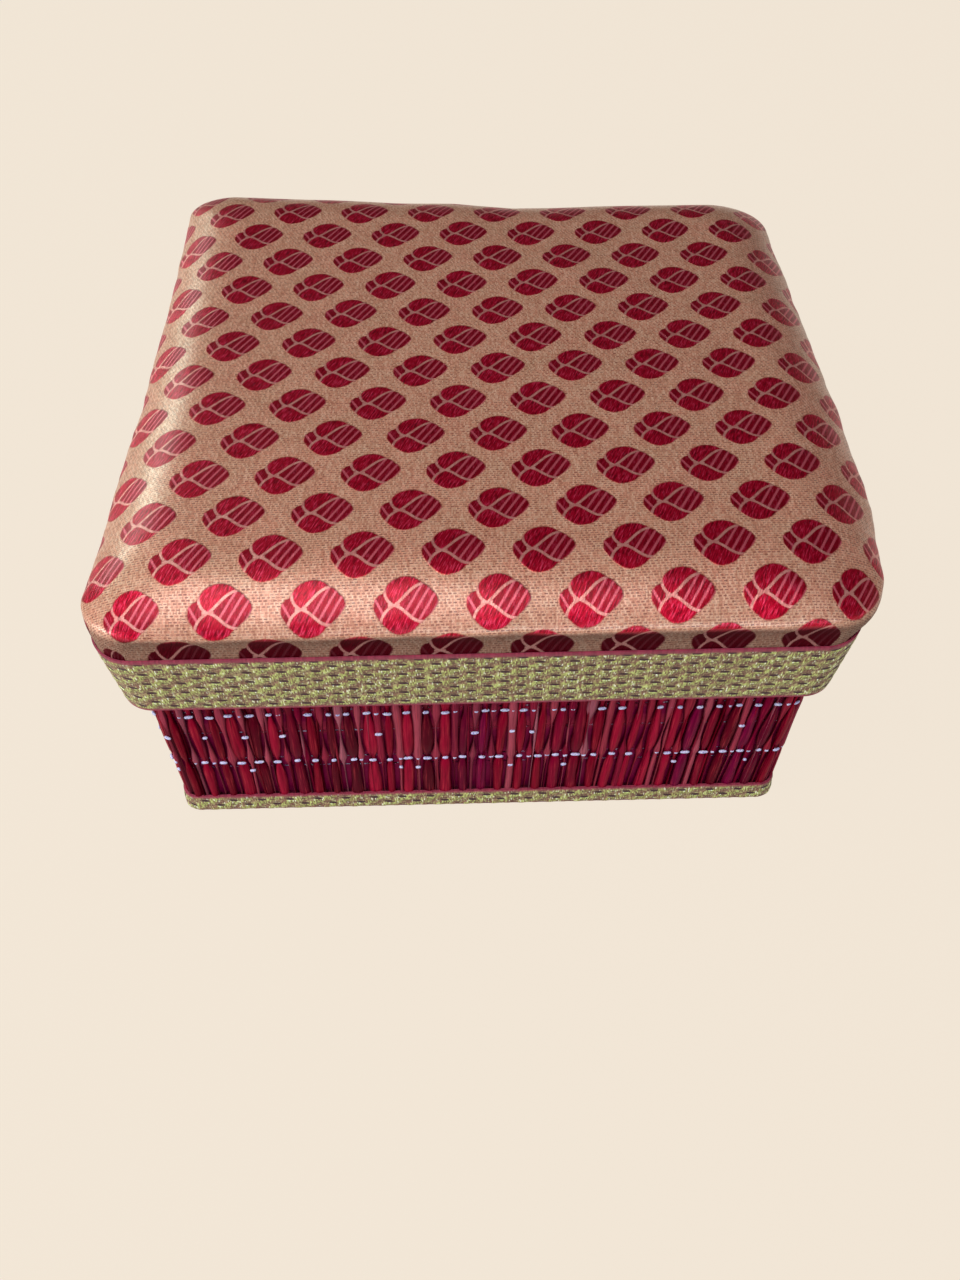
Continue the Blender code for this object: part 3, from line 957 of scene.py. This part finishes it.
def ribbon_relief(along, up, height, selvedges):
    """How far the weave stands proud, and where the plain selvedges lie."""
    column = along / RIBBON_COLUMN
    odd = np.floor(column) % 2
    beside = np.abs(column - np.floor(column) - 0.5)
    wave = np.cos(2 * np.pi * (up / RIBBON_REPEAT + 0.5 * odd))
    dash = np.abs(wave) ** 3 * (1 - np.clip((beside - 0.22) / 0.12, 0.0, 1.0))
    stroke = 0.5 - 0.5 * np.cos(2 * np.pi * (up / RIBBON_REPEAT - 0.5 * column))
    relief = 0.1 * stroke - 0.16 * dash
    inside = np.maximum(up - height + selvedges[1], selvedges[0] - up)
    selvedge = np.clip(inside / (0.3 * MM) + 0.5, 0.0, 1.0)
    return relief * (1 - selvedge) * MM, selvedge


def make_band(length, low, high, steps_along, steps_up):
    """A flat grid that stands upright along +X, between two heights."""
    return add_primitive(
        "grid", (length, high - low, 0.0), x_subdivisions=steps_along, y_subdivisions=steps_up, size=1.0,
        location=(length / 2, 0.0, (low + high) / 2), rotation=(math.pi / 2, 0.0, 0.0))


def close_back(band, low, high, thickness):
    """Both long edges turn back by the thickness and meet in a plain back."""
    def on_rim(edge):
        heights = [band.data.vertices[i].co.z for i in edge.vertices]
        return max(heights) < low + TOUCHING or min(heights) > high - TOUCHING

    edit_chosen(band, "EDGE", on_rim)
    bpy.ops.mesh.extrude_region_move(TRANSFORM_OT_translate={"value": (0.0, thickness, 0.0)})
    bpy.ops.mesh.bridge_edge_loops()
    set_mode("OBJECT")


def make_ribbon_band(body, selvedges, lean, thickness):
    """One length of ribbon, woven on its face, wrapped round the box and closed at its back."""
    low_corner, high_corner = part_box(f"{body}_ribbon")
    low, high = low_corner.z, high_corner.z
    offset = high_corner.x - HALF_WIDTH
    length = outline_length(offset)
    columns = 2 * round(length / RIBBON_COLUMN / 2)
    steps_along = columns * round(RIBBON_COLUMN / RIBBON_STEP)
    strip = make_band(length, low, high, steps_along, round((high - low) / RIBBON_STEP))
    places = coordinates(strip.data)
    along = places[:, 0] * (columns * RIBBON_COLUMN / length)
    up = places[:, 2] - low
    relief, selvedge = ribbon_relief(along, up, high - low, selvedges)
    places[:, 1] -= relief + np.interp(up, (0.0, high - low), lean)
    set_coordinates(strip.data, places)
    set_uv(strip.data, along, up)
    set_mask(strip.data, "selvedge", selvedge)
    close_back(strip, low, high, thickness)
    wrap_closed(strip, offset)
    finish_piece(strip, f"{body}_ribbon_band", body, "ribbon", (f"{body}_ribbon",))


# Grass mat and its threads

def blade_master():
    """One upright eight-sided blade, cut across at the heights where its width can change."""
    master = add_primitive(
        "cylinder", vertices=8, radius=1.0, depth=mat_high.z - mat_low.z, end_fill_type="NGON",
        location=(0.0, 0.0, (mat_low.z + mat_high.z) / 2))
    cut_across(Vector((0.0, 0.0, 1.0)), [level * MM for level in STEM_LEVELS])
    return master


def blade_shape(number, heights):
    """Half width and depth of the crest below the mat's face, at each height, for one blade.

    Odd blades fan out where they are bound, even ones are pinched there, and the last are slivers.
    """
    up = heights / MM
    size = chance.uniform(0.7, 1.15)
    if number >= STEM_COUNT:
        middle = chance.uniform(14, 44)
        reach = chance.uniform(6, 16)
        taper = np.clip(1 - np.abs(up - middle) / reach, 0.0, 1.0)
        half_width = (0.06 + chance.uniform(0.2, 0.4) * taper) * MM
        crest = np.full_like(up, chance.uniform(-0.1, 0.3) * MM)
    elif number % 2:
        drift = chance.uniform(-2.2, 2.2)
        rest = chance.choice((0.02, 0.04, 0.1, 0.3, 0.8))
        top = chance.uniform(0.5, 1.0)
        foot = chance.choice((0.05, 0.05, 0.3, 0.7))
        spread = np.interp(
            up, (2, 17.5, 20.2, 21.6, 28 + drift, 33 + drift, 39.5, 44, 69),
            (foot, foot, 0.5, 1.0, rest, rest, 1.0, top, 0.8))
        half_width = (0.1 + 1.05 * spread * size) * MM
        crest = (0.6 - 0.7 * spread) * MM
    else:
        pinch = np.maximum(1 - np.abs(up - 40.0) / 4.6, 1 - np.abs(up - 21.0) / 3.4)
        pinch = np.clip(pinch, 0.0, 1.0)
        belly = 1 + chance.uniform(-0.2, 0.2) * np.sin(up * 0.33 + number)
        half_width = (1.35 * size * belly - 0.75 * pinch * size) * MM
        crest = (0.5 * pinch + chance.uniform(-0.15, 0.2)) * MM
    return half_width, crest


def blade_middle(number, heights):
    """How far round the mat the middle of a blade lies at each height. It leans and bows a little."""
    rise = (heights - mat_low.z) / (mat_high.z - mat_low.z)
    if number < STEM_COUNT:
        start = number + 0.5
    else:
        start = (number - STEM_COUNT + 0.37) * STEM_COUNT / SLIVER_COUNT
    bow = blade_bow[number] * np.sin(rise * math.pi * 2.6 + number)
    return start * outline_length(0.0) / STEM_COUNT + blade_lean[number] * (rise - 0.5) + bow


blade_lean = [chance.uniform(0.9, 3.1) * MM for _ in range(STEM_COUNT + SLIVER_COUNT)]
blade_bow = [chance.uniform(-0.3, 0.3) * MM for _ in range(STEM_COUNT + SLIVER_COUNT)]


def make_grass_mat():
    """Blades copied from one master, each with its own width and lean, wrapped round the base."""
    master = blade_master()
    unit = coordinates(master.data)
    length = outline_length(0.0)
    pitch = length / STEM_COUNT
    blades = []
    for number in range(STEM_COUNT + SLIVER_COUNT):
        half_width, crest = blade_shape(number, unit[:, 2])
        thickness = np.maximum(MAT_THICKNESS - BACKING_THICKNESS - crest, THINNEST_BLADE)
        across = blade_middle(number, unit[:, 2]) + unit[:, 0] * half_width
        inward = crest + thickness * (1 + unit[:, 1]) / 2
        blade = moulded_copy(master, np.column_stack([across, inward, unit[:, 2]]))
        set_uv(blade.data, number + 0.5 + 0.49 * unit[:, 0], unit[:, 2])
        blades.append(blade)
    bpy.data.objects.remove(master)

    # Behind the blades a thin backing in a stem's colour keeps the card from showing through; it stands in
    # for the shade between the stems
    backing = add_primitive(
        "cube", (length, BACKING_THICKNESS, mat_high.z - mat_low.z), size=1.0,
        location=(length / 2, MAT_THICKNESS - BACKING_THICKNESS / 2, (mat_low.z + mat_high.z) / 2))
    edit_chosen(backing, "FACE", lambda face: abs(face.normal.x) > 0.5)
    bpy.ops.mesh.delete(type="FACE")
    cut_across(Vector((1.0, 0.0, 0.0)), [number * pitch for number in range(1, STEM_COUNT)])
    places = coordinates(backing.data)
    set_uv(backing.data, np.full(len(places), 0.5), places[:, 2])
    wrap_closed(backing, 0.0)
    mat = join(blades)
    wrap_round(mat, 0.0)
    mat = join([mat, backing])
    finish_piece(mat, "grass_stem_mat", "base", "grass", ("grass_mat",), sharp=50)


def stitch_master():
    """One blunt dash of cotton along +X, 1 long, 1 high and 1 thick."""
    stitch = add_primitive(
        "uv_sphere", segments=10, ring_count=8, radius=0.5, rotation=(0.0, math.pi / 2, 0.0))
    places = coordinates(stitch.data)
    places[:, 0] = 0.5 * np.sign(places[:, 0]) * np.abs(2 * places[:, 0]) ** 0.7
    set_coordinates(stitch.data, places)
    return stitch


def make_binding_thread(number, shares_shown, width, depth):
    """One cotton thread right round the mat. It shows where it passes over a blade."""
    name = f"binding_thread_{number}"
    low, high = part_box(name)
    height = (low.z + high.z) / 2

    # Behind the blades the thread is one thin band. In front of them each stitch is a dash.
    foot, top = height - THREAD_HALF, height + THREAD_HALF
    thread = make_band(outline_length(0.0), foot, top, STEM_COUNT, 1)
    places = coordinates(thread.data)
    places[:, 1] = THREAD_DEPTH
    set_coordinates(thread.data, places)
    close_back(thread, foot, top, THREAD_HALF)
    wrap_closed(thread, 0.0)
    master = stitch_master()
    unit = coordinates(master.data)
    stitches = []
    for blade in range(STEM_COUNT):
        small = blade % 2 != (0 if shares_shown[0] > shares_shown[1] else 1)
        shown = chance.random() < shares_shown[blade % 2]
        inward = (depth + chance.uniform(-0.15, 0.1)) * MM
        tilt = chance.uniform(-0.1, 0.3) * MM
        lift = chance.uniform(-0.25, 0.25) * MM
        reach = width * chance.uniform(0.7, 1.3) * (0.5 if small else 1.0) * MM
        plump = 0.8 if small else 1.0
        if not shown:
            continue
        stitches.append(moulded_copy(master, np.column_stack([
            blade_middle(blade, height) + unit[:, 0] * reach,
            inward + unit[:, 1] * STITCH_THICKNESS * plump,
            height + lift + unit[:, 0] * tilt + unit[:, 2] * STITCH_HEIGHT * plump])))
    bpy.data.objects.remove(master)
    dashes = join(stitches)
    wrap_round(dashes, 0.0)
    dashes = join([dashes, thread])
    finish_piece(dashes, f"cotton_thread_{number}", "base", "thread", (name,), sharp=80)


# Carried-over pieces

def dress_frame_nodes():
    """The frame's own card, paper and lining get their finishes. The other nodes are replaced."""
    for part in frame["record"]["subparts"]:
        if part["material_slot"] in ("card", "paper", "lining"):
            paint(nodes[part["node"]], part["material_slot"])


# Studio

def add_floor():
    """A pale floor. To the camera it is mostly its own plain colour, and the box's shadow still shows."""
    floor = add_primitive("plane", size=8.0, location=(0.0, 2.0, 0.0))
    floor.name = "studio_floor"
    net = Finish("pale_floor", 0.9, Base_Color=srgb(120, 112, 104), Specular_IOR_Level=0.0)
    glow = net.node("Emission", {"Color": srgb(243, 231, 215), "Strength": 1.12})
    path = net.node("LightPath").outputs
    seen = net.plus(path["Is Camera Ray"], path["Is Glossy Ray"], clamp=True)
    seen = net.plus(seen, path["Is Transmission Ray"], clamp=True)
    mixed = net.node("MixShader", {0: net.times(seen, 0.86), 1: net.shader.outputs[0], 2: glow.outputs[0]})
    net.give(net.tree.nodes["Material Output"], Surface=mixed.outputs[0])
    floor.data.materials.append(net.material)


def add_lamp(name, location, size, power, colour=(1.0, 1.0, 1.0)):
    """A soft oblong lamp, given by its width and height, that faces the middle of the lid."""
    lamp = bpy.data.lights.new(name, "AREA")
    lamp.shape = "RECTANGLE"
    lamp.size, lamp.size_y = size
    lamp.energy = power
    lamp.color = colour
    holder = add_object(name, lamp)
    holder.visible_camera = False
    holder.location = location
    aim = Vector((0.0, 0.0, 0.06)) - Vector(location)
    holder.rotation_euler = aim.to_track_quat("-Z", "Y").to_euler()


def add_lights():
    add_lamp("key_lamp", (-0.2, -0.24, 0.62), (0.6, 0.4), 3.2)
    add_lamp("front_lamp", (0.24, -0.75, 0.28), (0.8, 0.2), 2.6, (0.76, 0.93, 1.0))
    add_lamp("side_lamp", (-0.42, -0.22, 0.1), (0.2, 0.2), 1.0, (0.9, 1.0, 1.0))
    add_lamp("back_lamp", (-0.63, 0.48, 0.36), (0.42, 0.14), 2.1, (0.7, 1.0, 0.88))
    world = bpy.data.worlds.new("studio_world")
    world.use_nodes = True
    background = world.node_tree.nodes["Background"]
    background.inputs["Color"].default_value = (1.0, 1.0, 1.0, 1.0)
    background.inputs["Strength"].default_value = 0.05
    bpy.context.scene.world = world


CAMERA_PLACE = Vector((-3.05, -207.23, 233.44)) * MM
CAMERA_PITCH = math.radians(51.13)
CAMERA_YAW = math.radians(1.36)
CAMERA_ROLL = math.radians(0.14)
CAMERA_LENS = 29.53


def add_camera():
    """The photograph's camera, looking down at the front of the box."""
    camera = bpy.data.cameras.new("camera")
    camera.lens = CAMERA_LENS
    camera.clip_start = 0.01
    holder = add_object("camera", camera)
    holder.location = CAMERA_PLACE
    level = math.cos(CAMERA_PITCH)
    forward = Vector((math.sin(CAMERA_YAW) * level, math.cos(CAMERA_YAW) * level, -math.sin(CAMERA_PITCH)))
    holder.rotation_euler = forward.to_track_quat("-Z", "Y").to_euler()
    holder.rotation_euler.rotate_axis("Z", -CAMERA_ROLL)
    bpy.context.scene.camera = holder


make_cover()
make_ribbon_band("lid", LID_SELVEDGES, LID_RIBBON_LEAN, LID_RIBBON_THICKNESS)
make_ribbon_band("base", BASE_SELVEDGES, BASE_RIBBON_LEAN, BASE_RIBBON_THICKNESS)
make_grass_mat()
for thread_row in THREAD_STITCHES:
    make_binding_thread(*thread_row)
dress_frame_nodes()
add_floor()
add_lights()
add_camera()
bpy.context.scene.view_settings.view_transform = "Standard"

deselect_all()
